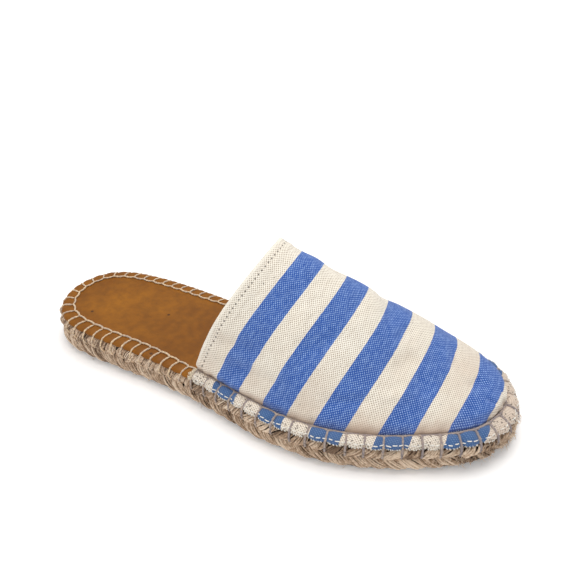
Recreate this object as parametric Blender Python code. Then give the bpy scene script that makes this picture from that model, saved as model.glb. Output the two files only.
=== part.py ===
"""A right-foot espadrille mule: rubber outsole, plaited jute sole, leather insole and canvas upper.

Metres, +Z up. The toe points along +X and the inner side of the foot along +Y.
The origin is on the floor, under the middle of the sole. Every ring of every piece is worked
out from one outline of the sole and one level of the rim, so the pieces stay seated on each other.
"""
import math

import bmesh
import bpy
import numpy as np

# Driving sizes of the shoe
SOLE_LENGTH = 0.258
BALL_WIDTH = 0.0948
HEEL_HEIGHT = 0.0201
INSTEP_HEIGHT = 0.0585
TOE_SPRING = 0.0032

# Thickness of each layer and the clearance between them
RUBBER = 0.0018
LEATHER = 0.0013
CANVAS = 0.0013
HEM_FOLD = 0.0009
SEAT_GAP = 0.0003

# The rounded shoulder of the rim, measured inwards from the outline and down from the rim's level
RIM_INSET = 0.0010
SHOULDER_RUN = 0.0049
SHOULDER_DROP = 0.0016
LEATHER_EDGE_ANGLE = math.radians(84)
CANVAS_EDGE_ANGLE = math.radians(78)

# The plait of the sole's side, the footbed and the collar
PLAIT_STRANDS = 46
STRAND_RELIEF = 0.0009
RUBBER_INSET = 0.0016
RUBBER_EDGE_ROUND = 0.0005
FOOTBED_DISH = 0.0008
HEM_WIDTH = 0.0075

# Mesh fineness
STATIONS_PER_STRAND = 3
STATIONS = PLAIT_STRANDS * STATIONS_PER_STRAND
HALF = STATIONS // 2
UPPER_ROWS = 25
UPPER_COLUMNS = 20
ROW_RATIO_AFTER_HEM = 1.15
NORMAL_STEP_SHARE = 0.004
SHOULDER_STEPS = 3
FOOTBED_STEPS = 3
OUTLINE_SAMPLES = 40

# Outline of the sole. Station along SOLE_LENGTH from the heel; inner and outer reach from the
# centre line, as shares of BALL_WIDTH.
OUTLINE = (
    (0.012, 0.167, 0.118),
    (0.039, 0.267, 0.220),
    (0.085, 0.329, 0.289),
    (0.155, 0.353, 0.322),
    (0.240, 0.351, 0.336),
    (0.329, 0.333, 0.358),
    (0.419, 0.316, 0.394),
    (0.512, 0.329, 0.451),
    (0.605, 0.392, 0.500),
    (0.698, 0.466, 0.497),
    (0.783, 0.500, 0.443),
    (0.860, 0.478, 0.356),
    (0.922, 0.411, 0.273),
    (0.969, 0.299, 0.166),
)
HEEL_TIP_SHARE = 0.022
TOE_TIP_SHARE = 0.037

# Level of the leather at the rim. Station along SOLE_LENGTH; height as a share of HEEL_HEIGHT.
RIM_LEVEL = (
    (0.00, 1.000),
    (0.23, 0.925),
    (0.41, 0.845),
    (0.54, 0.806),
    (0.70, 0.786),
    (0.85, 0.791),
    (1.00, 0.816),
)

# Where the sole starts to lift towards the toe, as a share of SOLE_LENGTH
SPRING_START_SHARE = 0.775

# Side of the jute sole. Share of the side's height; inset as a share of RIM_INSET;
# share of STRAND_RELIEF; lean of the strands, in strands over the whole side.
SIDE_ROWS = (
    (0.00, 1.60, 0.0, 1.1),
    (0.10, 0.75, 0.7, 1.1),
    (0.26, 0.15, 1.0, 1.1),
    (0.42, 0.20, 1.0, 1.1),
    (0.53, 0.75, 0.4, 1.1),
    (0.64, 0.25, 0.8, -1.1),
    (0.80, 0.10, 0.9, -1.1),
    (0.93, 0.45, 0.6, -1.1),
    (1.00, 1.30, 0.0, -1.1),
)

# The vamp, from the collar to the toe. Station of the collar's foot on SOLE_LENGTH.
COLLAR_STATION_SHARE = 0.409
# Row of the vamp from 0 at the collar to 1 at the toe; height as a share of INSTEP_HEIGHT;
# shift of the ridge to the inner side, as a share of the half width; forward lean of the row
# as run over rise; roundness of the side and of the top.
VAMP = (
    (0.00, 1.000, 0.47, 0.226, 2.30, 1.92),
    (0.20, 0.757, 0.41, 0.305, 2.03, 1.74),
    (0.40, 0.449, 0.35, 0.370, 1.80, 1.61),
    (0.60, 0.236, 0.27, 0.370, 1.77, 1.60),
    (0.80, 0.129, 0.16, 0.305, 1.90, 1.74),
    (0.90, 0.079, 0.10, 0.266, 1.98, 1.83),
    (1.00, 0.000, 0.05, 0.227, 2.05, 1.92),
)
# Extra forward reach of the collar's top, as a share of INSTEP_HEIGHT
COLLAR_CURVE_SHARE = 0.205


def clear_scene():
    for item in list(bpy.data.objects):
        bpy.data.objects.remove(item, do_unlink=True)


def material(name, colour, roughness, metallic=0.0):
    made = bpy.data.materials.new(name)
    made.use_nodes = True
    shader = made.node_tree.nodes["Principled BSDF"]
    shader.inputs["Base Color"].default_value = (*colour, 1.0)
    shader.inputs["Roughness"].default_value = roughness
    shader.inputs["Metallic"].default_value = metallic
    return made


def smooth_value(table, column, at):
    """Value of a table's column at a station, on a smooth curve through its rows."""
    stations = [row[0] for row in table]
    values = [row[column] for row in table]
    at = min(max(at, stations[0]), stations[-1])
    last = len(stations) - 2
    span = 0
    while span < last and at > stations[span + 1]:
        span += 1
    slopes = []
    for here in (span, span + 1):
        low, high = max(here - 1, 0), min(here + 1, len(stations) - 1)
        slopes.append((values[high] - values[low]) / (stations[high] - stations[low]))
    width = stations[span + 1] - stations[span]
    t = (at - stations[span]) / width
    start = values[span] * (1 + 2 * t) * (1 - t) ** 2 + values[span + 1] * t * t * (3 - 2 * t)
    return start + width * (slopes[0] * t * (1 - t) ** 2 - slopes[1] * t * t * (1 - t))


def closed_curve(points, samples):
    """A smooth closed curve through the points, with the given samples in each span."""
    count = len(points)
    curve = []
    for index in range(count):
        p0, p1, p2, p3 = (points[(index + step) % count] for step in (-1, 0, 1, 2))
        d1 = np.linalg.norm(p1 - p0) ** 0.5
        d2 = np.linalg.norm(p2 - p1) ** 0.5
        d3 = np.linalg.norm(p3 - p2) ** 0.5
        m1 = ((p1 - p0) / d1 - (p2 - p0) / (d1 + d2)) * d2 + (p2 - p1)
        m2 = ((p3 - p2) / d3 - (p3 - p1) / (d2 + d3)) * d2 + (p2 - p1)
        for sample in range(samples):
            t = sample / samples
            curve.append(
                (2 * t ** 3 - 3 * t ** 2 + 1) * p1 + (t ** 3 - 2 * t ** 2 + t) * m1
                + (3 * t ** 2 - 2 * t ** 3) * p2 + (t ** 3 - t ** 2) * m2)
    return np.array(curve)


def sole_sides():
    """The outer and the inner side of the outline, heel tip to toe tip: x, y and outward normal."""
    def place(station, reach):
        return np.array(((station - 0.5) * SOLE_LENGTH, reach * BALL_WIDTH))

    points = [place(0.0, HEEL_TIP_SHARE)]
    points += [place(station, -outer) for station, inner, outer in OUTLINE]
    points += [place(1.0, TOE_TIP_SHARE)]
    points += [place(station, inner) for station, inner, outer in reversed(OUTLINE)]
    curve = closed_curve(points, OUTLINE_SAMPLES)
    along = np.roll(curve, -1, axis=0) - np.roll(curve, 1, axis=0)
    along /= np.linalg.norm(along, axis=1)[:, None]
    table = np.column_stack((curve, along[:, 1], -along[:, 0]))
    toe = OUTLINE_SAMPLES * (len(OUTLINE) + 1)
    outer_side = table[:toe + 1]
    inner_side = np.vstack((table[toe:], table[:1]))[::-1]
    return outer_side, inner_side


OUTER_SIDE, INNER_SIDE = sole_sides()


def even_stations(side, count):
    """The side's points again, at even steps along it."""
    steps = np.linalg.norm(np.diff(side[:, :2], axis=0), axis=1)
    run = np.concatenate(((0.0,), np.cumsum(steps)))
    wanted = np.linspace(0.0, run[-1], count)
    return np.column_stack([np.interp(wanted, run, side[:, k]) for k in range(4)])


def sole_stations():
    """All stations round the sole: heel tip, outer side, toe tip, inner side."""
    outer = even_stations(OUTER_SIDE, HALF + 1)
    inner = even_stations(INNER_SIDE, HALF + 1)
    return np.vstack((outer, inner[1:-1][::-1]))


def rim_level(x):
    return HEEL_HEIGHT * smooth_value(RIM_LEVEL, 1, x / SOLE_LENGTH + 0.5)


def toe_lift(x):
    lift = max(0.0, x / SOLE_LENGTH + 0.5 - SPRING_START_SHARE) / (1.0 - SPRING_START_SHARE)
    return TOE_SPRING * lift * lift


def at_station(station, inset, height):
    """A point beside one station of the outline, moved inwards and raised."""
    x, y, out_x, out_y = station
    return (x - inset * out_x, y - inset * out_y, height)


def shoulder_point(station, angle, layer):
    """A point of the rim's rounded shoulder, offset outwards by a layer from the leather's face.

    The angle is 0 on the flat of the footbed and a quarter turn where the rim is upright."""
    inset = RIM_INSET + SHOULDER_RUN * (1 - math.sin(angle)) - layer * math.sin(angle)
    height = rim_level(station[0]) - SHOULDER_DROP * (1 - math.cos(angle)) + layer * math.cos(angle)
    return at_station(station, inset, height)


def ring_faces(lower, upper):
    """Quads between two closed rings of vertices."""
    count = len(lower)
    return [(lower[k], lower[(k + 1) % count], upper[(k + 1) % count], upper[k]) for k in range(count)]


class Shell:
    """Points and faces of one closed body."""

    def __init__(self):
        self.points = []
        self.faces = []

    def add(self, point):
        self.points.append(tuple(point))
        return len(self.points) - 1

    def ring(self, points):
        return [self.add(point) for point in points]

    def skin(self, rings):
        for lower, upper in zip(rings, rings[1:]):
            self.faces += ring_faces(lower, upper)

    def strip(self, left, right):
        """Quads between two open rows of vertices."""
        for k in range(len(left) - 1):
            self.faces.append((left[k], left[k + 1], right[k + 1], right[k]))

    def ladder(self, ring, steps, dish):
        """Close a ring round the sole with rungs from its outer to its inner side."""
        half = len(ring) // 2
        rungs = [[ring[0]] * (steps + 1)]
        for k in range(1, half):
            start = np.array(self.points[ring[k]])
            end = np.array(self.points[ring[-k]])
            rung = [ring[k]]
            for step in range(1, steps):
                share = step / steps
                point = start + (end - start) * share
                point[2] -= dish * math.sin(math.pi * share) * math.sin(math.pi * k / half)
                rung.append(self.add(point))
            rungs.append(rung + [ring[-k]])
        rungs.append([ring[half]] * (steps + 1))
        for here, ahead in zip(rungs, rungs[1:]):
            for step in range(steps):
                corners = (here[step], here[step + 1], ahead[step + 1], ahead[step])
                self.faces.append(tuple(dict.fromkeys(corners)))

    def build(self, name, finish, smooth_angle=40):
        mesh = bpy.data.meshes.new(name)
        mesh.from_pydata(self.points, [], self.faces)
        work = bmesh.new()
        work.from_mesh(mesh)
        bmesh.ops.recalc_face_normals(work, faces=work.faces)
        if work.calc_volume(signed=True) < 0:
            bmesh.ops.reverse_faces(work, faces=work.faces)
        work.to_mesh(mesh)
        work.free()
        mesh.shade_smooth()
        mesh.set_sharp_from_angle(angle=math.radians(smooth_angle))
        mesh.materials.append(finish)
        made = bpy.data.objects.new(name, mesh)
        bpy.context.scene.collection.objects.link(made)
        return made


def make_outsole(stations):
    """The thin rubber sheet under the plait, flat from the heel to the ball."""
    shell = Shell()
    rings = []
    for inset, height in (
            (RUBBER_INSET + RUBBER_EDGE_ROUND, 0.0),
            (RUBBER_INSET, RUBBER_EDGE_ROUND),
            (RUBBER_INSET, RUBBER)):
        rings.append(shell.ring(
            at_station(station, inset, height + toe_lift(station[0])) for station in stations))
    shell.skin(rings)
    shell.ladder(rings[0], 1, 0.0)
    shell.ladder(rings[-1], 1, 0.0)
    return shell.build("outsole", material("crepe rubber", (0.035, 0.022, 0.014), 0.8))


def ledge_level(x):
    """Level of the ledge round the jute, just under the leather's turned edge."""
    turned = math.cos(LEATHER_EDGE_ANGLE)
    return rim_level(x) - SHOULDER_DROP * (1 - turned) - LEATHER * turned - SEAT_GAP


def strand_inset(row, index):
    """Extra inset of one station of the plait: deepest between two strands."""
    share, inset, relief, lean = row
    phase = index / STATIONS_PER_STRAND + lean * share
    return STRAND_RELIEF * relief * 0.5 * (1 - math.cos(2 * math.pi * phase))


def make_sole(stations):
    """The plaited jute: two rows of slanted strands round a side that carries the rim."""
    shell = Shell()
    under = LEATHER + SEAT_GAP
    rings = []
    for row in SIDE_ROWS:
        points = []
        for index, station in enumerate(stations):
            bottom = RUBBER + SEAT_GAP + toe_lift(station[0])
            height = bottom + (ledge_level(station[0]) - bottom) * row[0]
            inset = row[1] * RIM_INSET + strand_inset(row, index)
            points.append(at_station(station, inset, height))
        rings.append(shell.ring(points))
    rings.append(shell.ring(
        at_station(station, RIM_INSET + under, ledge_level(station[0])) for station in stations))
    for step in range(SHOULDER_STEPS):
        angle = LEATHER_EDGE_ANGLE * (1 - step / (SHOULDER_STEPS - 1))
        rings.append(shell.ring(shoulder_point(station, angle, -under) for station in stations))
    shell.skin(rings)
    shell.ladder(rings[0], 1, 0.0)
    shell.ladder(rings[-1], FOOTBED_STEPS, FOOTBED_DISH)
    return shell.build("sole", material("plaited jute", (0.42, 0.29, 0.17), 0.9))


def make_insole(stations):
    """One sheet of leather over the whole footbed, turned down over the rim."""
    shell = Shell()
    sheets = []
    for layer in (0.0, -LEATHER):
        rings = []
        for step in range(SHOULDER_STEPS + 1):
            angle = LEATHER_EDGE_ANGLE * step / SHOULDER_STEPS
            rings.append(shell.ring(shoulder_point(station, angle, layer) for station in stations))
        shell.skin(rings)
        shell.ladder(rings[0], FOOTBED_STEPS, FOOTBED_DISH)
        sheets.append(rings)
    shell.skin((sheets[0][-1], sheets[1][-1]))
    return shell.build("insole", material("tan leather", (0.36, 0.16, 0.045), 0.55))


FOOT_INSET = RIM_INSET + SHOULDER_RUN


def foot_station(side, foot_x):
    """The station of a side whose foot line, under the canvas wall, lies at the given x."""
    foot_line = side[:, 0] - FOOT_INSET * side[:, 2]
    return [float(np.interp(foot_x, foot_line, side[:, k])) for k in range(4)]


def vamp_feet(row):
    """Stations of a row's outer and inner foot, for a row from 0 at the collar to 1 at the toe."""
    collar_x = (COLLAR_STATION_SHARE - 0.5) * SOLE_LENGTH
    toe_x = OUTER_SIDE[-1][0] - FOOT_INSET
    foot_x = collar_x + (toe_x - collar_x) * math.sin(row * math.pi / 2)
    return foot_station(OUTER_SIDE, foot_x), foot_station(INNER_SIDE, foot_x)


def vamp_point(row, turn):
    """A point of the upper's outer face. The turn runs from 0 at the outer foot to pi at the inner."""
    outer, inner = vamp_feet(row)
    lift = CANVAS + SEAT_GAP
    start = np.array(at_station(outer, FOOT_INSET, rim_level(outer[0]) + lift))
    end = np.array(at_station(inner, FOOT_INSET, rim_level(inner[0]) + lift))
    height, ridge, lean, side_round, top_round = (smooth_value(VAMP, k, row) for k in range(1, 6))
    half_width = (end[1] - start[1]) / 2
    rise = max(math.sin(turn), 0.0)
    swing = math.cos(turn)
    across = (1 - math.copysign(abs(swing) ** (2 / side_round), swing)) / 2
    point = start + (end - start) * across
    up = INSTEP_HEIGHT * height * rise ** (2 / top_round)
    point[0] += lean * up + COLLAR_CURVE_SHARE * up * up / INSTEP_HEIGHT * height
    point[1] += ridge * half_width * rise * rise
    point[2] += up
    return point


def vamp_normal(row, turn):
    """The outward direction of the upper's face, level at its foot so that the wall stands on it."""
    step = NORMAL_STEP_SHARE
    row = min(max(row, step), 1 - 4 * step)
    turn_low, turn_high = max(turn - step, 0.0), min(turn + step, math.pi)
    along = vamp_point(row + step, turn) - vamp_point(row - step, turn)
    across = vamp_point(row, turn_high) - vamp_point(row, turn_low)
    normal = np.cross(along, across)
    normal /= np.linalg.norm(normal)
    if math.sin(turn) < NORMAL_STEP_SHARE:
        normal[2] = 0.0
    return normal / np.linalg.norm(normal)


def vamp_rows():
    """Rows from the collar to the toe, with two close rows where the folded hem ends."""
    vamp_length = (1 - COLLAR_STATION_SHARE) * SOLE_LENGTH - FOOT_INSET
    hem = math.asin(HEM_WIDTH / vamp_length) * 2 / math.pi
    rest = hem * ROW_RATIO_AFTER_HEM
    return [0.0, hem] + [rest + (1 - rest) * k / UPPER_ROWS for k in range(UPPER_ROWS)]


def make_upper():
    """One hollow canvas shell: a vamp open at the collar and below, with a margin turned out."""
    shell = Shell()
    rows = vamp_rows()
    turns = [math.pi * k / UPPER_COLUMNS for k in range(UPPER_COLUMNS + 1)]
    outer_face, inner_face = [], []
    for index, row in enumerate(rows):
        wall = CANVAS + (HEM_FOLD if index < 2 else 0.0)
        outer_points = [vamp_point(row, turn) for turn in turns]
        outer_face.append(shell.ring(outer_points))
        inner_face.append(shell.ring(
            point - wall * vamp_normal(row, turn) for point, turn in zip(outer_points, turns)))
    toe_point = vamp_point(1.0, 0.0)
    outer_pole = shell.add(toe_point)
    inner_pole = shell.add(toe_point - np.array((CANVAS, 0.0, 0.0)))

    for face, pole in ((outer_face, outer_pole), (inner_face, inner_pole)):
        for here, ahead in zip(face, face[1:]):
            shell.strip(here, ahead)
        last = face[-1]
        shell.faces += [(last[k], last[k + 1], pole) for k in range(UPPER_COLUMNS)]
    shell.strip(outer_face[0], inner_face[0])

    # The margin follows the foot of the wall from the outer corner, round the toe, to the inner
    feet = [vamp_feet(row) for row in rows]
    path = [outer for outer, inner in feet] + [vamp_feet(1.0)[0]]
    path += [inner for outer, inner in reversed(feet)]
    outer_foot = [face[0] for face in outer_face] + [outer_pole]
    outer_foot += [face[-1] for face in reversed(outer_face)]
    inner_foot = [face[0] for face in inner_face] + [inner_pole]
    inner_foot += [face[-1] for face in reversed(inner_face)]
    angles = [CANVAS_EDGE_ANGLE * k / SHOULDER_STEPS for k in range(SHOULDER_STEPS + 1)]
    tops = [outer_foot]
    for angle in angles[1:]:
        tops.append(shell.ring(shoulder_point(station, angle, SEAT_GAP + CANVAS) for station in path))
    unders = []
    for angle in reversed(angles):
        unders.append(shell.ring(shoulder_point(station, angle, SEAT_GAP) for station in path))
    heel_of_wall = shell.ring(
        at_station(station, FOOT_INSET + CANVAS, rim_level(station[0]) + SEAT_GAP) for station in path)
    layers = tops + unders + [heel_of_wall, inner_foot]
    for here, ahead in zip(layers, layers[1:]):
        shell.strip(here, ahead)
    for end in (0, -1):
        shell.faces.append([layer[end] for layer in layers])
    return shell.build("upper", material("striped canvas", (0.72, 0.66, 0.55), 0.85))


def main():
    clear_scene()
    stations = sole_stations()
    make_outsole(stations)
    make_sole(stations)
    make_insole(stations)
    make_upper()


main()
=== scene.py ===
"""Looks of a right-foot espadrille mule: striped canvas vamp, tan leather footbed, plaited jute sole.

Metres, in the frame of the CAD model: the toe along +X, the inner side of the foot along +Y, the
floor at z = 0. Pieces are laid out in the shoe's own spaces: the rim's line for what runs round the
sole, and rows and columns of the cloth for the vamp.
"""

import contextlib
import functools
import math

import bpy
import numpy as np
from mathutils import Matrix, Vector


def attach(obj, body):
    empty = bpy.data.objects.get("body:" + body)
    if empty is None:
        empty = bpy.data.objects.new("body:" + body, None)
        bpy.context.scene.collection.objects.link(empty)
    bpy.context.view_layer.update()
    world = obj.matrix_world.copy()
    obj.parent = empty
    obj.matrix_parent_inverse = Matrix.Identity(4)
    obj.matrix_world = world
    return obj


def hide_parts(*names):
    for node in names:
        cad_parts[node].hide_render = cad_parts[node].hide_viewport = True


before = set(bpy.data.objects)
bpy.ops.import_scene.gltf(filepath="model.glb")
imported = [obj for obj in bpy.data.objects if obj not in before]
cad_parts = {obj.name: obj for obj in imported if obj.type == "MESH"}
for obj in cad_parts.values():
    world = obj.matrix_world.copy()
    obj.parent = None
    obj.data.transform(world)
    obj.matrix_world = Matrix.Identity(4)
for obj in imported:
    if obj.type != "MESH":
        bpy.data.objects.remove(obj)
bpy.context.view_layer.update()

MM = 0.001
chance = np.random.default_rng(7)

# Sizes of the shoe, as in its CAD source
SOLE_LENGTH = 0.258
BALL_WIDTH = 0.0948
HEEL_HEIGHT = 0.0201
INSTEP_HEIGHT = 0.0585
TOE_SPRING = 0.0032
RUBBER = 0.0018
LEATHER = 0.0013
CANVAS = 0.0013
SEAT_GAP = 0.0003
RIM_INSET = 0.0010
SHOULDER_RUN = 0.0049
SHOULDER_DROP = 0.0016
FOOT_INSET = RIM_INSET + SHOULDER_RUN
FOOTBED_DISH = 0.0008
SPRING_START = 0.775
COLLAR_STATION = 0.409
COLLAR_CURVE = 0.205
HEEL_TIP = 0.022
TOE_TIP = 0.037
OUTLINE_SAMPLES = 40

# Outline of the sole: station along SOLE_LENGTH; inner and outer reach as shares of BALL_WIDTH
OUTLINE = (
    (0.012, 0.167, 0.118),
    (0.039, 0.267, 0.220),
    (0.085, 0.329, 0.289),
    (0.155, 0.353, 0.322),
    (0.240, 0.351, 0.336),
    (0.329, 0.333, 0.358),
    (0.419, 0.316, 0.394),
    (0.512, 0.329, 0.451),
    (0.605, 0.392, 0.500),
    (0.698, 0.466, 0.497),
    (0.783, 0.500, 0.443),
    (0.860, 0.478, 0.356),
    (0.922, 0.411, 0.273),
    (0.969, 0.299, 0.166),
)

# Level of the leather at the rim: station along SOLE_LENGTH; height as a share of HEEL_HEIGHT
RIM_LEVEL = (
    (0.00, 1.000),
    (0.23, 0.925),
    (0.41, 0.845),
    (0.54, 0.806),
    (0.70, 0.786),
    (0.85, 0.791),
    (1.00, 0.816),
)

# Vamp: row; height as a share of INSTEP_HEIGHT; ridge shift; lean; roundness of side and top
VAMP = (
    (0.00, 1.000, 0.47, 0.226, 2.30, 1.92),
    (0.20, 0.757, 0.41, 0.305, 2.03, 1.74),
    (0.40, 0.449, 0.35, 0.370, 1.80, 1.61),
    (0.60, 0.236, 0.27, 0.370, 1.77, 1.60),
    (0.80, 0.129, 0.16, 0.305, 1.90, 1.74),
    (0.90, 0.079, 0.10, 0.266, 1.98, 1.83),
    (1.00, 0.000, 0.05, 0.227, 2.05, 1.92),
)

# Cloth of the vamp. Its threads are drawn slightly coarser than real ones, so that the weave shows.
CLOTH = 0.9 * MM
THREAD = 0.71 * MM
STRIPE_WIDTH = 13.9 * MM
TIP_STRIPE = 12.0 * MM
STRIPE_EDGE_ROWS = (
    0.0, 0.0595, 0.1201, 0.1808, 0.2417, 0.3054, 0.378, 0.4568, 0.5466, 0.6509, 0.830, 1.0)
HEM_WIDTH = 7.5 * MM
HEM_STITCH = 3.4 * MM
HEM_RISE = 0.40 * MM
NEEDLE_DENT = 0.22 * MM
HOLE_STEP = 2.5 * MM
FOLD_RADIUS = 0.95 * MM
FOLD_STEPS = 6
WAVE_HEIGHT = 0.42 * MM
CORNER_ROUNDING = 2.2 * MM
CLOTH_ROWS = 170
CLOTH_COLUMNS = 120
MARGIN_STEPS = 10
MARGIN_ANGLE = math.radians(76)
MARGIN_PUFF = 1.4 * MM
MARGIN_SAG = 1.15 * MM
FOOT_GROOVE = 0.6 * MM
RIDGE_FORWARD = 2.0 * MM
TOE_PULL = 2.0 * MM
TOE_REACH = (34 * MM, 15 * MM)
SHEET_MERGE = 0.02 * MM

# Leather footbed
BED_ROWS = 190
BED_COLUMNS = 60
BED_EDGE_STEPS = 9
BED_EDGE_ANGLE = math.radians(88)
LEATHER_PUFF = 0.95 * MM

# Blanket stitch, overlock and cut ends round the rim
STITCH_ON_LEATHER = 6.5 * MM
STITCH_ON_CANVAS = 8.3 * MM
TWINE_RADIUS = 0.5 * MM
LEATHER_RIM_EXTRA = 1.4 * MM
LEG_LEAN = 1.7 * MM
LEG_ANGLE = math.radians(86)
OVERLOCK_PITCH = 2.7 * MM
OVERLOCK_RADIUS = 0.23 * MM
CORNER_ENDS = 70
EDGE_ENDS = 260

# Plait of the sole's side
STRAND_PITCH = 8.2 * MM
PLAIT_SPLIT = 0.54
CORE_INSET = 2.9 * MM
CORE_DEPTH = 7 * MM
YARNS = 8
YARN_RADIUS = 0.47 * MM
HAIRS = 1300

# Strands of both rows: where they start and end, as shares of the side's height; how narrow their ends
# are, as shares of the width; how far they bulge, and how far up the bulge they start; rings per yarn
LOWER_STRANDS = {
    "low": -0.07, "high": PLAIT_SPLIT + 0.07, "pinches": (1.05, 0.35), "bulge": 3.5 * MM, "foot": 0.03,
    "rings": 13}
UPPER_STRANDS = {
    "low": PLAIT_SPLIT - 0.10, "high": 1.03, "pinches": (0.25, 0.5), "bulge": 3.4 * MM, "foot": 0.0,
    "rings": 12}

# Twist of the jute yarn and of the twine, in radians to the metre
YARN_TWIST = 2600.0
TWINE_TWIST = 1500.0

# Size of the paper floor and of the softboxes
FLOOR_SIZE = 3.0
SOFTBOX_SIZE = 0.8


# The last: curves and levels that the whole shoe shares

def run_along(points):
    """Distance of each point from the first, along the line through them."""
    return np.concatenate(((0.0,), np.cumsum(np.linalg.norm(np.diff(points, axis=0), axis=1))))


def soft_step(value, low, high):
    """0 below low, 1 above high and a smooth rise between them."""
    share = np.clip((value - low) / (high - low), 0.0, 1.0)
    return share * share * (3 - 2 * share)


def hump(value, middle, width):
    """1 at the middle and a smooth fall to 0 on both sides of it."""
    return np.exp(-((value - middle) / width) ** 2)


def eased(t, start, leave, end, arrive):
    """A place at t from 0 to 1 between two others, on a curve with the given slopes at both."""
    return ((2 * t ** 3 - 3 * t ** 2 + 1) * start + (t ** 3 - 2 * t ** 2 + t) * leave
            + (3 * t ** 2 - 2 * t ** 3) * end + (t ** 3 - t ** 2) * arrive)


def smooth_value(table, column, at):
    """Value of a table's column at a station, on a smooth curve through its rows."""
    stations = [row[0] for row in table]
    values = [row[column] for row in table]
    at = min(max(at, stations[0]), stations[-1])
    last = len(stations) - 2
    span = 0
    while span < last and at > stations[span + 1]:
        span += 1
    slopes = []
    for here in (span, span + 1):
        low, high = max(here - 1, 0), min(here + 1, len(stations) - 1)
        slopes.append((values[high] - values[low]) / (stations[high] - stations[low]))
    width = stations[span + 1] - stations[span]
    t = (at - stations[span]) / width
    return eased(t, values[span], width * slopes[0], values[span + 1], width * slopes[1])


def closed_curve(points, samples):
    """A smooth closed curve through the points, with the given samples in each span."""
    count = len(points)
    curve = []
    for index in range(count):
        p0, p1, p2, p3 = (points[(index + step) % count] for step in (-1, 0, 1, 2))
        d1, d2, d3 = (np.linalg.norm(leg) ** 0.5 for leg in (p1 - p0, p2 - p1, p3 - p2))
        m1 = ((p1 - p0) / d1 - (p2 - p0) / (d1 + d2)) * d2 + (p2 - p1)
        m2 = ((p3 - p2) / d3 - (p3 - p1) / (d2 + d3)) * d2 + (p2 - p1)
        curve += [eased(sample / samples, p1, m1, p2, m2) for sample in range(samples)]
    return np.array(curve)


def sole_outline():
    """The closed outline from the heel tip by the outer side: x, y and the outward normal."""
    def place(station, reach):
        return np.array(((station - 0.5) * SOLE_LENGTH, reach * BALL_WIDTH))

    points = [place(0.0, HEEL_TIP)]
    points += [place(station, -outer) for station, inner, outer in OUTLINE]
    points += [place(1.0, TOE_TIP)]
    points += [place(station, inner) for station, inner, outer in reversed(OUTLINE)]
    curve = closed_curve(points, OUTLINE_SAMPLES)
    along = np.roll(curve, -1, axis=0) - np.roll(curve, 1, axis=0)
    along /= np.linalg.norm(along, axis=1)[:, None]
    return np.column_stack((curve, along[:, 1], -along[:, 0]))


OUTLINE_TABLE = sole_outline()
TOE_INDEX = OUTLINE_SAMPLES * (len(OUTLINE) + 1)
OUTER_SIDE = OUTLINE_TABLE[:TOE_INDEX + 1]
INNER_SIDE = np.vstack((OUTLINE_TABLE[TOE_INDEX:], OUTLINE_TABLE[:1]))[::-1]

LEVEL_X = np.linspace(-0.5, 0.5, 200) * SOLE_LENGTH
LEVEL_Z = np.array([HEEL_HEIGHT * smooth_value(RIM_LEVEL, 1, x / SOLE_LENGTH + 0.5) for x in LEVEL_X])


def rim_level(x):
    """Level of the leather at the rim."""
    return np.interp(x, LEVEL_X, LEVEL_Z)


def toe_lift(x):
    """How far the sole has left the floor, in front of the ball."""
    lift = np.maximum(0.0, np.asarray(x) / SOLE_LENGTH + 0.5 - SPRING_START) / (1.0 - SPRING_START)
    return TOE_SPRING * lift * lift


def jute_bottom(x):
    """Level where the jute stands on the rubber."""
    return RUBBER + toe_lift(x)


def jute_top(x):
    """Level where the jute meets the turned edge of the leather."""
    return rim_level(x) - SHOULDER_DROP - SEAT_GAP


def side_height(x, share):
    """Level at a share of the way up the jute's side."""
    low = jute_bottom(x)
    return low + (jute_top(x) - low) * share


def wider_rim(along):
    """How much further in the chain runs on the bare leather than on the canvas."""
    along = np.mod(along, rim.length)
    from_corner = np.minimum(np.abs(along - OUTER_CORNER), np.abs(along - INNER_CORNER))
    away = soft_step(from_corner, 2 * MM, 35 * MM)
    return np.where((along < OUTER_CORNER) | (along > INNER_CORNER), LEATHER_RIM_EXTRA * away, 0.0)


def toe_inset(along):
    """How much further in the canvas wall meets its margin: the cloth is pulled in round the toe."""
    off = np.mod(along, rim.length) - (rim.toe - 7 * MM)
    return TOE_PULL * hump(off, 0.0, np.where(off < 0, *TOE_REACH))


class Rim:
    """The closed line of the stitching, measured along itself from the heel tip by the outer side."""

    def __init__(self):
        table = np.vstack((OUTLINE_TABLE, OUTLINE_TABLE[:1]))
        line = table[:, :2] - FOOT_INSET * table[:, 2:]
        self.run = run_along(line)
        self.table = table
        self.length = self.run[-1]
        self.toe = self.run[TOE_INDEX]

    def at(self, along):
        """x, y and outward normal of the outline beside the given places on the line."""
        along = np.mod(along, self.length)
        found = np.stack([np.interp(along, self.run, self.table[:, k]) for k in range(4)], axis=-1)
        found[..., 2:] /= np.linalg.norm(found[..., 2:], axis=-1, keepdims=True)
        return found

    def place(self, along, inset, height):
        """Points in the shoe, from places along the line, insets from the outline and heights."""
        found = self.at(along)
        x = found[..., 0] - inset * found[..., 2]
        y = found[..., 1] - inset * found[..., 3]
        return np.stack((x, y, np.broadcast_to(height, x.shape)), axis=-1)

    def beside(self, station):
        """The place along the line of the station nearest to the given one."""
        return self.run[np.argmin(np.hypot(self.table[:, 0] - station[0], self.table[:, 1] - station[1]))]


rim = Rim()


def foot_station(side, foot_x):
    """The station of a side whose foot line, under the canvas wall, lies at the given x."""
    foot_line = side[:, 0] - FOOT_INSET * side[:, 2]
    return np.array([float(np.interp(foot_x, foot_line, side[:, k])) for k in range(4)])


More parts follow.
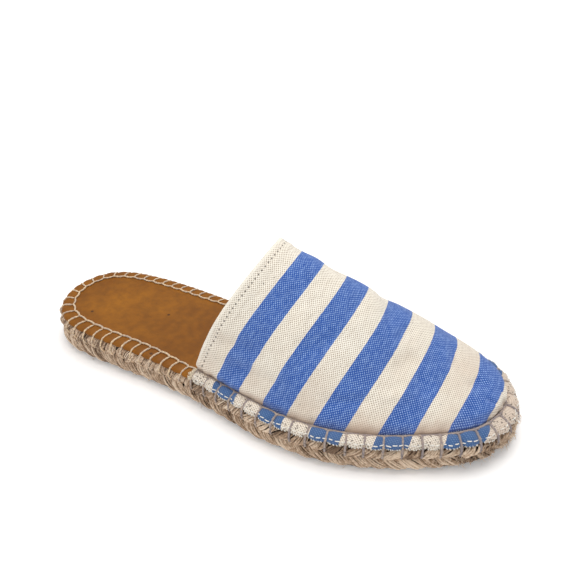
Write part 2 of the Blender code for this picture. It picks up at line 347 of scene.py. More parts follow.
def vamp_feet(row):
    """Stations of a row's outer and inner foot, for a row from 0 at the collar to 1 at the toe."""
    collar_x = (COLLAR_STATION - 0.5) * SOLE_LENGTH
    toe_x = OUTER_SIDE[-1][0] - FOOT_INSET
    foot_x = collar_x + (toe_x - collar_x) * math.sin(row * math.pi / 2)
    return foot_station(OUTER_SIDE, foot_x), foot_station(INNER_SIDE, foot_x)


def foot_point(station):
    """Where the canvas wall meets its margin beside one station."""
    x, y, out_x, out_y = station
    return np.array((x - FOOT_INSET * out_x, y - FOOT_INSET * out_y, rim_level(x) + CANVAS + SEAT_GAP))


def vamp_row(row, count):
    """Even points over one row of the vamp, from the outer foot to the inner foot."""
    outer, inner = vamp_feet(row)
    start, end = foot_point(outer), foot_point(inner)
    height, ridge, lean, side_round, top_round = (smooth_value(VAMP, k, row) for k in range(1, 6))
    turn = np.linspace(0.0, math.pi, 500)
    rise = np.maximum(np.sin(turn), 0.0)
    swing = np.cos(turn)
    across = (1 - np.sign(swing) * np.abs(swing) ** (2 / side_round)) / 2
    points = start + (end - start) * across[:, None]
    up = INSTEP_HEIGHT * height * rise ** (2 / top_round)
    points[:, 0] += lean * up + COLLAR_CURVE * up * up / INSTEP_HEIGHT * height
    points[:, 1] += ridge * (end[1] - start[1]) / 2 * rise * rise
    points[:, 2] += up
    run = run_along(points)
    wanted = np.linspace(0.0, run[-1], count)
    return np.column_stack([np.interp(wanted, run, points[:, k]) for k in range(3)])


# Stitch places along the rim

OUTER_CORNER = rim.beside(vamp_feet(0.0)[0])
INNER_CORNER = rim.beside(vamp_feet(0.0)[1])


def stitch_places():
    """Where the legs of the blanket stitch cross the rim: on the canvas, then on the leather."""
    canvas_run = INNER_CORNER - OUTER_CORNER - 2 * TWINE_RADIUS
    count = round(canvas_run / STITCH_ON_CANVAS)
    canvas = OUTER_CORNER + 2 * TWINE_RADIUS + canvas_run * np.arange(count + 1) / count
    leather_run = rim.length - canvas[-1] + canvas[0]
    count = round(leather_run / STITCH_ON_LEATHER)
    leather = canvas[-1] + leather_run * np.arange(1, count) / count
    return np.concatenate((canvas, leather))


STITCHES = stitch_places()
CANVAS_STITCHES = int(np.sum(STITCHES <= INNER_CORNER + TWINE_RADIUS))


def stitch_cell(along):
    """0 at each leg of the stitch and 1 midway between two legs."""
    first = STITCHES[0]
    along = np.mod(np.asarray(along) - first, rim.length) + first
    knots = np.append(STITCHES, first + rim.length)
    share = np.interp(along, knots, np.arange(len(knots)))
    return np.abs(np.sin(math.pi * share))


def under_canvas(along):
    """Whether a place along the rim is covered by the canvas margin."""
    along = np.mod(along, rim.length)
    return (along > OUTER_CORNER) & (along < INNER_CORNER)


# Making pieces

def select(*pieces):
    """Select these pieces and no other, with the first of them active."""
    bpy.ops.object.select_all(action="DESELECT")
    for piece in pieces:
        piece.select_set(True)
    if pieces:
        bpy.context.view_layer.objects.active = pieces[0]


@contextlib.contextmanager
def editing(piece):
    """Edit mode on one piece, with all of it selected."""
    select(piece)
    bpy.ops.object.mode_set(mode="EDIT")
    bpy.ops.mesh.select_all(action="SELECT")
    yield
    bpy.ops.object.mode_set(mode="OBJECT")


def add_sheet(name, points, cloth=None, closed=False):
    """A grid primitive whose vertices are laid on a surface of rows and columns of points.

    cloth gives each corner its place on the flat piece, for the UV map. A closed sheet is merged
    where its first and last columns meet."""
    rows, columns = points.shape[:2]
    select()
    bpy.ops.mesh.primitive_grid_add(x_subdivisions=columns - 1, y_subdivisions=rows - 1, size=1.0)
    sheet = bpy.context.object
    sheet.name = name
    mesh = sheet.data
    flat = np.empty(len(mesh.vertices) * 3)
    mesh.vertices.foreach_get("co", flat)
    column = np.rint((flat[0::3] + 0.5) * (columns - 1)).astype(int)
    row = np.rint((flat[1::3] + 0.5) * (rows - 1)).astype(int)
    mesh.vertices.foreach_set("co", points[row, column].ravel())
    corners = np.empty(len(mesh.loops) * 2)
    mesh.uv_layers[0].data.foreach_get("uv", corners)
    column = np.rint(corners[0::2] * (columns - 1)).astype(int)
    row = np.rint(corners[1::2] * (rows - 1)).astype(int)
    if cloth is not None:
        mesh.uv_layers[0].data.foreach_set("uv", cloth[row, column].ravel())
    mesh.uv_layers[0].name = "flat"
    if closed:
        merge(sheet)
    return sheet


def merge(piece, distance=1e-6):
    """Merge the vertices of a piece that lie on each other."""
    with editing(piece):
        bpy.ops.mesh.remove_doubles(threshold=distance)


def join(*pieces):
    """Join pieces into the first of them."""
    select(*pieces)
    bpy.ops.object.join()
    return pieces[0]


def close_holes(piece):
    """Fill every open edge loop of a piece with one face each."""
    with editing(piece):
        bpy.ops.mesh.select_mode(type="EDGE")
        bpy.ops.mesh.select_all(action="DESELECT")
        bpy.ops.mesh.select_non_manifold()
        bpy.ops.mesh.edge_face_add()
    face_out(piece)


def face_out(piece, flip=False):
    """Turn the faces outwards, and the other way round again for an open sheet that needs it."""
    with editing(piece):
        bpy.ops.mesh.normals_make_consistent(inside=False)
        if flip:
            bpy.ops.mesh.flip_normals()


def face_up(sheet, top):
    """Turn an open sheet's faces outwards, judged by the face that top picks out of all of them."""
    face_out(sheet)
    if top(sheet.data.polygons).normal.z < 0:
        face_out(sheet, flip=True)


def thicken(piece, wall):
    """Give a sheet its wall, inwards from its outer face."""
    solid = piece.modifiers.new("wall", "SOLIDIFY")
    solid.thickness = wall
    solid.offset = -1.0
    select(piece)
    bpy.ops.object.modifier_apply(modifier=solid.name)


def shade(piece, finish, slot, *nodes):
    """Smooth shading, the finish and the body of a finished piece; the slot is not used."""
    piece.data.shade_smooth()
    piece.data.materials.clear()
    piece.data.materials.append(finish)
    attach(piece, "root")
    if nodes:
        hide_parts(*nodes)


def tube(route, radius, sides=8, twist=0.0, groove=0.0):
    """A two-ply thread along a route of points, with tapered closed ends and the groove of its plies.

    It gives the rings of points and, for the UV map, the share of the way round and the run."""
    ahead = np.gradient(route, axis=0)
    ahead /= np.linalg.norm(ahead, axis=1)[:, None]
    run = run_along(route)[:, None]
    side = np.cross(ahead, (0.0, 0.0, 1.0))
    side[np.linalg.norm(side, axis=1) < 1e-3] = (1.0, 0.0, 0.0)
    side /= np.linalg.norm(side, axis=1)[:, None]
    over = np.cross(side, ahead)
    turn = np.linspace(0.0, 2 * math.pi, sides + 1)
    share = np.linspace(0.0, 1.0, len(route))
    ends = np.clip(np.minimum(share, 1 - share) * 8, 0.0, 1.0) ** 0.5
    reach = radius * ends[:, None] * (1 + groove * np.cos(2 * (turn - twist * run)))
    points = (route[:, None, :]
              + side[:, None, :] * (reach * np.cos(turn))[..., None]
              + over[:, None, :] * (reach * np.sin(turn))[..., None])
    return points, np.stack(np.broadcast_arrays(turn / (2 * math.pi), run), axis=-1)


def weave_tubes(name, tubes, tones=None):
    """Many threads as one mesh, with a tone for each."""
    vertices, faces, flats, shades = [], [], [], []
    start = 0
    for index, (points, flat) in enumerate(tubes):
        rings, columns = points.shape[:2]
        sides = columns - 1
        vertices.append(points[:, :sides].reshape(-1, 3))
        low = np.arange(rings - 1)[:, None]
        here = np.arange(sides)[None, :]
        ring = start + low * sides
        ahead = (here + 1) % sides
        quads = np.stack((ring + here, ring + ahead, ring + sides + ahead, ring + sides + here), axis=-1)
        faces.append(quads.reshape(-1, 4))
        corners = (flat[low, here], flat[low, here + 1], flat[low + 1, here + 1], flat[low + 1, here])
        flats.append(np.stack(corners, axis=-2).reshape(-1, 2))
        shades.append(np.full(rings * sides, 0.5 if tones is None else tones[index]))
        start += rings * sides
    mesh = bpy.data.meshes.new(name)
    mesh.from_pydata(np.vstack(vertices).tolist(), [], np.vstack(faces).tolist())
    mesh.uv_layers.new(name="flat").data.foreach_set("uv", np.vstack(flats).ravel())
    mesh.attributes.new("tone", "FLOAT", "POINT").data.foreach_set("value", np.concatenate(shades))
    piece = bpy.data.objects.new(name, mesh)
    bpy.context.scene.collection.objects.link(piece)
    merge(piece, 1e-7)
    face_out(piece)
    return piece


def smooth_route(points, samples):
    """A smooth open route through a few points."""
    knots = np.linspace(0.0, 1.0, len(points))
    wanted = np.linspace(0.0, 1.0, samples)
    slopes = np.gradient(points, knots, axis=0)
    span = np.clip(np.searchsorted(knots, wanted, side="right") - 1, 0, len(points) - 2)
    width = (knots[span + 1] - knots[span])[:, None]
    t = ((wanted - knots[span]) / width[:, 0])[:, None]
    return eased(t, points[span], width * slopes[span], points[span + 1], width * slopes[span + 1])


# Materials

# Settings of a mix of two colours, and its output
BLEND = {"data_type": "RGBA", "output": 2}


def colour(code):
    """An sRGB hex colour as linear values."""
    channels = [int(code[k:k + 2], 16) / 255 for k in (1, 3, 5)]
    return tuple(c / 12.92 if c <= 0.04045 else ((c + 0.055) / 1.055) ** 2.4 for c in channels) + (1.0,)


def new_finish(name, roughness, **sockets):
    """A material, the way to add nodes to it, and its shader with its own fixed values."""
    finish = bpy.data.materials.new(name)
    finish.use_nodes = True
    shader = finish.node_tree.nodes["Principled BSDF"]
    shader.inputs["Roughness"].default_value = roughness
    for key, value in sockets.items():
        shader.inputs[key.replace("_", " ")].default_value = value
    return finish, functools.partial(add_node, finish.node_tree), shader


def add_node(tree, kind, inputs, output=0, **settings):
    """One node with its settings, its inputs set or linked, and the output that is wanted."""
    made = tree.nodes.new("ShaderNode" + kind)
    for key, value in settings.items():
        setattr(made, key, value)
    for key, value in inputs.items():
        if isinstance(value, bpy.types.NodeSocket):
            tree.links.new(value, made.inputs[key])
        else:
            made.inputs[key].default_value = value
    return made.outputs[output]


def feed(shader, **sockets):
    """Link the last nodes of a material to its shader."""
    for key, value in sockets.items():
        shader.id_data.links.new(value, shader.inputs[key.replace("_", " ")])


def striped_canvas():
    """Yarn-dyed plain-weave cotton: blue yarns run along the stripes and pale ones cross them, so the
    blue is flecked with light points. Unfinished cotton is matt, with a faint sheen of fluff."""
    finish, node, shader = new_finish("striped cotton canvas", 0.88, Sheen_Weight=0.12, Sheen_Roughness=0.6)
    flat = node("UVMap", {}, uv_map="flat")
    across, along = (node("SeparateXYZ", {0: flat}, output=axis) for axis in (0, 1))
    place = node("TexCoord", {}, output="Object")
    forward, height = (node("SeparateXYZ", {0: place}, output=axis) for axis in (0, 2))
    margin = node("Attribute", {}, output="Fac", attribute_name="margin")
    wall = node("Math", {0: 1.0, 1: margin}, operation="SUBTRACT")

    # Threads: the product of two waves is high where one set lies on top and low where the other does
    waves = []
    for way in (across, along):
        wave = node("Math", {0: way, 1: math.pi / THREAD}, operation="MULTIPLY")
        waves.append(node("Math", {0: wave}, operation="SINE"))
    woven = node("Math", {0: waves[0], 1: waves[1]}, operation="MULTIPLY")
    crown = node("Math", {0: woven}, operation="ABSOLUTE")
    fleck = node("MapRange", {"Value": woven, "From Min": 0.0, "From Max": 0.7})
    # The second mask paints shade between the threads: a darker grid over the natural stripes
    gap_shade = node("MapRange", {"Value": woven, "From Min": 0.1, "From Max": -0.7})

    # Slubs of some 2.4 mm, and thick and thin places drawn out along the yarn
    slub = node("TexNoise", {"Vector": flat, "Scale": 0.42 / MM, "Detail": 3.0}, output="Fac")
    uneven = node("MapRange", {"Value": slub, "From Min": 0.3, "From Max": 0.65, "To Min": 0.45})
    fleck = node("Math", {0: fleck, 1: uneven}, operation="MULTIPLY")
    drawn = node("Mapping", {"Vector": flat, "Scale": (1 / (7 * MM), 1 / (1.1 * MM), 1.0)})
    thick = node("TexNoise", {"Vector": drawn, "Scale": 1.0, "Detail": 3.0}, output="Fac")
    thick = node("MapRange", {
        "Value": thick, "From Min": 0.3, "From Max": 0.7, "To Min": -0.11, "To Max": 0.11})
    # Less of the painted shade between the threads near the collar's fold
    at_fold = node("MapRange", {
        "Value": along, "From Min": 0.4 * MM, "From Max": 1.3 * MM, "To Min": 0.2, "To Max": 0.85})
    # Pale flecks of the cross yarns, and painted shade between the threads, each uneven with the yarn
    flecks_and_gap_shade = []
    for threads, part in ((fleck, 0.80), (gap_shade, at_fold)):
        threads = node("Math", {0: threads, 1: part}, operation="MULTIPLY")
        flecks_and_gap_shade.append(node("Math", {0: threads, 1: thick}, operation="ADD", use_clamp=True))

    # Stripes: half of each repeat is blue, with an edge that wavers by a thread
    blue = along
    waver = node("Math", {0: slub, 1: 0.5 * MM}, operation="MULTIPLY")
    for operation, value in (
            ("ADD", waver), ("DIVIDE", 2 * STRIPE_WIDTH), ("FRACT", 0.0), ("GREATER_THAN", 0.5)):
        blue = node("Math", {0: blue, 1: value}, operation=operation)
    pale = node("Math", {0: 1.0, 1: blue}, operation="SUBTRACT")

    # Washed patches of some 14 mm. On the wall, soiled patches of some 22 mm, most of them low on the wall,
    # where their darkening is partly painted shade of the wall's lower side; and a band of painted shade in
    # the crease just above the stitching, with soil
    wash = node("TexNoise", {"Vector": place, "Scale": 0.07 / MM, "Detail": 4.0}, output="Fac")
    # Band just above the stitching: painted shade of the crease there, with soil
    foot = node("MapRange", {"Value": height, "From Min": 23 * MM, "From Max": 17.5 * MM})
    foot = node("Math", {0: foot, 1: wall}, operation="MULTIPLY")
    # Darker lower on the wall: painted shade of its lower side, together with the soil patches
    low = node("MapRange", {"Value": height, "From Min": 47 * MM, "From Max": 20 * MM, "To Min": 0.12})
    soil_and_shade = node("TexNoise", {"Vector": place, "Scale": 0.045 / MM, "Detail": 3.0}, output="Fac")
    soil_and_shade = node("MapRange", {"Value": soil_and_shade, "From Min": 0.30, "From Max": 0.70})
    for operation, value in (("MULTIPLY", low), ("MULTIPLY", wall), ("ADD", foot), ("MULTIPLY", 0.60)):
        soil_and_shade = node("Math", {0: soil_and_shade, 1: value}, operation=operation)

    # The margin is rubbed, handled more towards the toe, and grimy in patches; the wall's foot is greyed as
    # well, as painted shade of the crease above the stitching, with soil
    rubbed = node("Math", {0: margin, 1: 0.74}, operation="MULTIPLY")
    handled = node("MapRange", {
        "Value": forward, "From Min": 95 * MM, "From Max": 125 * MM, "To Min": 0.26, "To Max": 0.60})
    handled = node("Math", {0: handled, 1: margin}, operation="MULTIPLY")
    grime_and_foot_shade = node("MapRange", {"Value": wash, "From Min": 0.40, "From Max": 0.7, "To Max": 0.14})
    grime_and_foot_shade = node("Math", {0: grime_and_foot_shade, 1: margin}, operation="MULTIPLY")
    # The foot band also greys the wall: painted shade of the crease, with soil
    foot = node("Math", {0: foot, 1: 0.22}, operation="MULTIPLY")
    grime_and_foot_shade = node("Math", {0: grime_and_foot_shade, 1: foot}, operation="MAXIMUM")

    # Needle holes along the hem, painted dark as the shade inside them, and specks of dirt on the natural
    # stripes
    beside = across
    for operation, value in (
            ("DIVIDE", HOLE_STEP), ("FRACT", 0.0), ("SUBTRACT", 0.5), ("MULTIPLY", HOLE_STEP)):
        beside = node("Math", {0: beside, 1: value}, operation=operation)
    row_off = node("Math", {0: along, 1: HEM_STITCH}, operation="SUBTRACT")
    # Round dark spots at the needle holes: painted shade inside them
    needle_hole_shade = node("CombineXYZ", {0: beside, 1: row_off})
    needle_hole_shade = node("VectorMath", {0: needle_hole_shade}, output="Value", operation="LENGTH")
    needle_hole_shade = node("MapRange", {"Value": needle_hole_shade, "From Min": 0.60 * MM, "From Max": 0.34 * MM})
    dark = node("TexVoronoi", {"Vector": flat, "Scale": 0.52 / MM}, output="Distance",
                voronoi_dimensions="2D")
    dark = node("MapRange", {"Value": dark, "From Min": 0.26, "From Max": 0.14})
    rare, often = (node("MapRange", {"Value": slub, "From Min": least, "From Max": most})
                   for least, most in ((0.67, 0.70), (0.47, 0.53)))
    sparse = node("Mix", {0: margin, 2: rare, 3: often}, data_type="FLOAT")
    for operation, value in (("MULTIPLY", sparse), ("MULTIPLY", pale), ("MAXIMUM", needle_hole_shade), ("MULTIPLY", 0.8)):
        dark = node("Math", {0: dark, 1: value}, operation=operation)

    # Yarns of both colours with what lies over them, including painted shade between the pale threads and, on
    # the wall, soil with painted shade low down; the stripes of the two; and on top the dirt, with painted
    # shade at the wall's foot and in the needle holes
    blues = node("Mix", {0: wash, 6: colour("#0D4395"), 7: colour("#1856B1")}, **BLEND)
    for share, code in ((flecks_and_gap_shade[0], "#B2D2FF"), (rubbed, "#3F6289")):
        blues = node("Mix", {0: share, 6: blues, 7: colour(code)}, **BLEND)
    naturals = node("Mix", {0: wash, 6: colour("#FDF5E4"), 7: colour("#FFFCF1")}, **BLEND)
    # Onto the natural yarns: painted shade between the threads, soil with painted shade low on the wall, and
    # dirt from handling
    for share, code in ((flecks_and_gap_shade[1], "#967F66"), (soil_and_shade, "#C9AE98"), (handled, "#CDB29E")):
        naturals = node("Mix", {0: share, 6: naturals, 7: colour(code)}, **BLEND)
    body = node("Mix", {0: blue, 6: naturals, 7: blues}, **BLEND)
    # Grey of the margin's grime and of the foot's painted shade, then dark specks of dirt and the painted
    # shade of the needle holes
    for share, code in ((grime_and_foot_shade, "#83776C"), (dark, "#3F332A")):
        body = node("Mix", {0: share, 6: body, 7: colour(code)}, **BLEND)

    relief = node("Math", {0: crown, 1: slub}, operation="ADD")
    bump = node("Bump", {"Height": relief, "Strength": 0.55, "Distance": 0.16 * MM})
    feed(shader, Base_Color=body, Normal=bump)
    return finish


def fibre_finish(name, pale, mid, dark, fibre, roughness=0.86, contrast=0.4):
    """Spun fibre: fine streaks run along the yarn, so a noise is stretched along its flat map."""
    finish, node, shader = new_finish(name, roughness, Sheen_Weight=0.08)
    flat = node("UVMap", {}, uv_map="flat")
    streaks = node("Mapping", {"Vector": flat, "Scale": (9.0, 1 / fibre, 1.0)})
    mixed = node("TexNoise", {"Vector": streaks, "Scale": 1.0, "Detail": 4.0}, output="Fac")
    place = node("TexCoord", {}, output="Object")
    fleck = node("TexNoise", {"Vector": place, "Scale": 0.9 / MM, "Detail": 2.0}, output="Fac")
    tone = node("Attribute", {}, output="Fac", attribute_name="tone")
    for part in (fleck, tone):
        mixed = node("Math", {0: mixed, 1: part}, operation="ADD")
    level = node("MapRange", {"Value": mixed, "From Min": 1.5 - contrast, "From Max": 1.5 + contrast})
    body = colour(dark)
    for least, most, code in ((0.0, 0.5, mid), (0.5, 1.0, pale)):
        share = node("MapRange", {"Value": level, "From Min": least, "From Max": most})
        body = node("Mix", {0: share, 6: body, 7: colour(code)}, **BLEND)
    bump = node("Bump", {"Height": mixed, "Strength": 0.6, "Distance": 0.2 * MM})
    feed(shader, Base_Color=body, Normal=bump)
    return finish


def tan_leather():
    """Vegetable-tanned sheepskin: aniline colour that pools in soft clouds, fine pores, a satin wear.

    The clouds are some 36 mm across, the mottling 4 mm and the pores 0.7 mm."""
    finish, node, shader = new_finish("tan leather", 0.5, Specular_IOR_Level=0.22)
    place = node("TexCoord", {}, output="Object")
    clouds = node("TexNoise", {
        "Vector": place, "Scale": 0.028 / MM, "Detail": 5.0, "Roughness": 0.6}, output="Fac")
    clouds = node("MapRange", {"Value": clouds, "From Min": 0.32, "From Max": 0.68})
    mottle = node("TexNoise", {"Vector": place, "Scale": 0.24 / MM, "Detail": 5.0}, output="Fac")
    fine = node("MapRange", {"Value": mottle, "From Min": 0.38, "From Max": 0.64, "To Max": 0.3})
    marks = node("TexVoronoi", {"Vector": place, "Scale": 0.026 / MM}, output="Distance",
                 voronoi_dimensions="2D")
    marks = node("MapRange", {"Value": marks, "From Min": 0.028, "From Max": 0.014, "To Max": 0.8})
    body = colour("#7A4709")
    for share, code in ((clouds, "#9C6217"), (fine, "#5C3812"), (marks, "#3B2412")):
        body = node("Mix", {0: share, 6: body, 7: colour(code)}, **BLEND)
    gloss = node("MapRange", {"Value": clouds, "To Min": 0.42, "To Max": 0.6})
    pores = node("TexVoronoi", {"Vector": place, "Scale": 1.4 / MM}, output="Distance")
    relief = node("Math", {0: pores, 1: mottle}, operation="ADD")
    bump = node("Bump", {"Height": relief, "Strength": 0.25, "Distance": 0.12 * MM})
    feed(shader, Base_Color=body, Roughness=gloss, Normal=bump)
    return finish


def crepe_rubber():
    """Sheet rubber vulcanised to the jute: dark brown, matt, with a fine moulded crumb of 1.4 mm."""
    finish, node, shader = new_finish("crepe rubber", 0.75)
    place = node("TexCoord", {}, output="Object")
    crumb = node("TexNoise", {"Vector": place, "Scale": 0.7 / MM, "Detail": 3.0}, output="Fac")
    body = node("Mix", {0: crumb, 6: colour("#2A211A"), 7: colour("#4A3C30")}, **BLEND)
    bump = node("Bump", {"Height": crumb, "Strength": 0.4, "Distance": 0.3 * MM})
    feed(shader, Base_Color=body, Normal=bump)
    return finish


def studio_floor():
    """Seamless paper under the shoe, white, that glows by itself as painted light: faintly under the shoe,
    which lightens its shadows, and more strongly where the softboxes no longer reach it.
    """
    finish, node, shader = new_finish("glowing white paper", 0.9, Emission_Color=colour("#FFFFFF"))
    place = node("TexCoord", {}, output="Object")
    far = node("VectorMath", {0: place}, output="Value", operation="LENGTH")
    # Painted light: the floor glows faintly under the shoe, lightening its shadows, and more strongly further
    # out
    glow = node("MapRange", {"Value": far, "From Min": 0.35, "From Max": 1.0, "To Min": 0.17, "To Max": 0.75})
    tooth = node("TexNoise", {"Vector": place, "Scale": 0.04 / MM}, output="Fac")
    body = node("Mix", {0: tooth, 6: colour("#FBFBFB"), 7: colour("#FFFFFF")}, **BLEND)
    feed(shader, Base_Color=body, Emission_Strength=glow)
    return finish


# Canvas vamp

# Creases that wear has put in the vamp: centre as shares of the vamp's length from the collar and
# of its width from the outer foot; half length as a share of the length; slant in degrees from the
# stripes; half width and depth in millimetres, the depth still to be multiplied by the strength.
# A negative depth is a ridge.
CREASED_LENGTH = 150 * MM
CREASED_WIDTH = 120 * MM
CREASE_STRENGTH = 3.3
CREASES = (
    (0.09, 0.16, 0.09, 80, 3.0, 0.55),
    (0.20, 0.10, 0.10, 84, 2.6, 0.50),
    (0.34, 0.30, 0.07, 35, 5.0, 0.45),
    (0.46, 0.62, 0.08, -20, 6.0, 0.50),
    (0.60, 0.38, 0.06, 15, 5.0, 0.40),
    (0.74, 0.55, 0.07, -12, 4.5, 0.45),
    (0.52, 0.14, 0.08, 70, 3.5, 0.35),
    (0.28, 0.80, 0.09, -60, 5.0, 0.50),
    (0.15, 0.55, 0.06, 10, 7.0, -0.40),
    (0.36, 0.50, 0.05, -8, 3.5, 0.30),
    (0.55, 0.52, 0.05, 12, 3.0, 0.32),
    (0.68, 0.30, 0.05, -30, 3.2, 0.34),
    (0.83, 0.44, 0.05, 20, 3.0, 0.36),
    (0.90, 0.30, 0.04, -35, 2.5, 0.36),
    (0.24, 0.34, 0.05, -25, 4.0, -0.30),
    (0.62, 0.20, 0.06, 60, 4.0, -0.32),
)


def cloth_rows():
    """Rows of the vamp at even steps along its foot."""
    fine = np.linspace(0.0, 1.0, 400)
    run = run_along(np.array([foot_point(vamp_feet(row)[0]) for row in fine]))
    return np.interp(np.linspace(0.0, run[-1], CLOTH_ROWS), run, fine)


def cloth_length(row):
    """Place of a row on the flat cloth: the stripes are even there."""
    edges = STRIPE_WIDTH * np.arange(len(STRIPE_EDGE_ROWS) - 1)
    edges = np.append(edges, edges[-1] + TIP_STRIPE)
    return np.interp(row, STRIPE_EDGE_ROWS, edges)


def outward(points):
    """Outward directions of a sheet of points whose rows run over the vamp."""
    along = np.gradient(points, axis=0)
    across = np.gradient(points, axis=1)
    normal = np.cross(along, across)
    size = np.linalg.norm(normal, axis=-1, keepdims=True)
    return normal / np.maximum(size, 1e-12)


def crease_relief(length_share, width_share):
    """Height of the cloth's face over the worn creases: below 0 in a trough."""
    relief = np.zeros(np.broadcast_shapes(length_share.shape, width_share.shape))
    for at_length, at_width, half, slant, width, depth in CREASES:
        off_length = (length_share - at_length) * CREASED_LENGTH
        off_width = (width_share - at_width) * CREASED_WIDTH
        slant = math.radians(slant)
        run = off_length * math.sin(slant) + off_width * math.cos(slant)
        off = off_length * math.cos(slant) - off_width * math.sin(slant)
        ends = np.exp(-(run / (half * CREASED_LENGTH)) ** 4)
        relief -= CREASE_STRENGTH * depth * MM * hump(off, 0.0, width * MM) * ends
    return relief


def vamp_cloth():
    """Rows of the vamp, its outer face up to the collar's edge, and its place on the flat cloth."""
    rows = cloth_rows()
    points = np.array([vamp_row(row, CLOTH_COLUMNS + 1) for row in rows])
    length = cloth_length(rows)[:, None]
    run = np.array([run_along(row) for row in points])
    foot = np.minimum(run, run[:, -1:] - run)
    width_share = run / np.maximum(run[:, -1:], 1e-9)
    feet = [vamp_feet(row) for row in rows]
    outer_along, inner_along = (
        np.array([rim.beside(pair[side]) for pair in feet])[:, None] for side in (0, 1))
    beside = np.where(width_share < 0.5, outer_along, inner_along)
    cell = stitch_cell(beside)
    normal = outward(points)

    # The wall rolls out over the stitching, most of all beside the collar, and puffs between the legs
    near_collar = 1 - soft_step(length, 15 * MM, 75 * MM)
    near_toe = soft_step(length, 90 * MM, 135 * MM)
    roll = (0.50 + 1.2 * near_collar - 0.7 * near_toe) * MM
    relief = roll * hump(foot, 4.2 * MM, 2.6 * MM)
    relief += 0.35 * MM * cell * hump(foot, 1.6 * MM, 1.6 * MM)
    relief -= 0.30 * MM * (1 - cell) * hump(foot, 3.0 * MM, 3.5 * MM)

    # Worn creases, shallow waves all over, and the hem with the dent of its needle row
    relief += crease_relief(length / length[-1], width_share) * soft_step(foot, 2 * MM, 10 * MM)
    relief += (WAVE_HEIGHT * np.sin(length / (11 * MM) + 5 * width_share)
               * np.sin(9 * width_share + length / (23 * MM)))
    relief += HEM_RISE * (1 - soft_step(length, HEM_WIDTH - 0.6 * MM, HEM_WIDTH + 0.6 * MM))
    relief -= NEEDLE_DENT * hump(length, HEM_STITCH, 0.7 * MM)
    relief *= soft_step(foot, 0.0, 1.6 * MM)
    points = points + normal * relief[..., None]

    # The ridge is set forward, and the wall's foot sinks into the seam
    set_forward = 1 - soft_step(length, 122 * MM, 150 * MM)
    points[..., 0] += RIDGE_FORWARD * np.sin(math.pi * width_share) ** 2 * set_forward
    points[..., 2] -= FOOT_GROOVE * hump(foot, 0.0, 1.3 * MM)

    # Round the toe the wall stands further in
    inner_share = soft_step(width_share, 0.2, 0.8)[..., None]
    way = rim.at(outer_along)[..., 2:] * (1 - inner_share) + rim.at(inner_along)[..., 2:] * inner_share
    pull = toe_inset(beside) * hump(foot, 0.0, 18 * MM)
    points[..., :2] -= way * pull[..., None]

    # The corners of the collar are rounded forward into the stitching
    corner = np.clip(1 - foot / (9 * MM), 0.0, 1.0) ** 2 * np.clip(1 - length / (22 * MM), 0.0, 1.0) ** 2
    points[..., 0] += CORNER_ROUNDING * corner * soft_step(foot, 0.0, 0.8 * MM)

    centre = run[:, -1:] * np.linspace(0.56, 0.50, len(rows))[:, None]
    cloth = np.stack(np.broadcast_arrays(run - centre, length), axis=-1)
    return rows, points, cloth


def with_hem(points, cloth):
    """The same sheet with rows added for the hem: from its end inside forward to the collar's edge."""
    normal = outward(points)[0]
    ahead = points[1] - points[0]
    spacing = np.linalg.norm(ahead, axis=1)
    ahead = ahead / spacing[:, None]
    hem_rows = max(3, int(HEM_WIDTH / float(np.mean(spacing))))
    added = [(points[k] - normal * 2 * FOLD_RADIUS, cloth[k, 0, 1]) for k in range(hem_rows, 0, -1)]
    for k in range(FOLD_STEPS):
        turn = math.pi * (1 - k / FOLD_STEPS)
        bend = points[0] - normal * FOLD_RADIUS * (1 - math.cos(turn)) - ahead * FOLD_RADIUS * math.sin(turn)
        added.append((bend, turn * FOLD_RADIUS))
    hem = [line for line, length in added]
    hem_cloth = [np.column_stack((cloth[0, :, 0], np.full(len(line), length))) for line, length in added]
    return np.concatenate((hem, points)), np.concatenate((hem_cloth, cloth))


def shoulder_section(x, along, angle, layer):
    """Inset and height at an angle round the rim's shoulder, out by a layer from the leather's face."""
    inset = RIM_INSET + (SHOULDER_RUN + toe_inset(along)) * (1 - np.sin(angle)) - layer * np.sin(angle)
    height = rim_level(x) - SHOULDER_DROP * (1 - np.cos(angle)) + layer * np.cos(angle)
    return inset, height


def shoulder(along, angle, layer):
    """Points on the rim's rounded shoulder, offset outwards by a layer from the leather's face."""
    along, angle, layer = np.broadcast_arrays(along, angle, layer)
    return rim.place(along, *shoulder_section(rim.at(along)[..., 0], along, angle, layer))


def puff_height(along):
    """How high the margin puffs: it is drawn flatter on the inner side of the toe."""
    flatter = soft_step(along, rim.toe + 6 * MM, rim.toe + 20 * MM)
    return MARGIN_PUFF * (1 - 0.6 * flatter * (1 - soft_step(along, rim.toe + 60 * MM, rim.toe + 90 * MM)))


def margin_cell(along):
    """The cell of the stitch for the margin: round the toe its valleys are wider."""
    return stitch_cell(along) ** (1 + 0.9 * toe_inset(along) / TOE_PULL)


def margin_layer(share, cell, puff=MARGIN_PUFF):
    """How far the margin stands off the leather, at a share of its way out and a place in the cell."""
    share = np.clip(share, 0.0, 1.0)
    rise = np.sin(math.pi * share ** 0.75) * cell ** 0.45
    sag = np.sin(math.pi * share / 2) * (1 - cell) ** 2
    return SEAT_GAP + CANVAS + puff * rise - MARGIN_SAG * sag - FOOT_GROOVE * hump(share, 0.0, 0.13)


